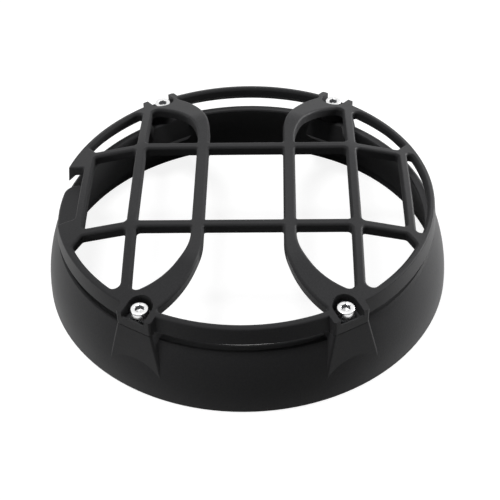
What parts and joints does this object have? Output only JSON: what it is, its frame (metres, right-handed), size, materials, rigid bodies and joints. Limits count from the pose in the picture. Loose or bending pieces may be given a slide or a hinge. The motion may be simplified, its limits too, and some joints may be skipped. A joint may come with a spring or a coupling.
{
  "type": "headlight guard",
  "caption": "Black moulded guard for a round headlight: a bulging base ring and a domed grille of crossing bars and swept bows, screwed together through pocketed feet.",
  "frame": {"origin": "centre of the bottom rim, on the plane the guard stands on", "axes": "+Z towards the grille, -Y towards the viewer of the picture, the ring's cut on the -X side"},
  "size_m": [0.2022, 0.2022, 0.0544],
  "materials": {
    "black_plastic": "black moulded plastic, satin-matte with a fine grain",
    "bright_steel": "bright zinc-plated steel",
    "brass": "plain turned brass"
  },
  "bodies": {
    "root": {"base_ring": "black_plastic", "grille": "black_plastic", "cap_screws": "bright_steel", "spring_washers": "bright_steel", "threaded_inserts": "brass"}
  },
  "joints": []
}
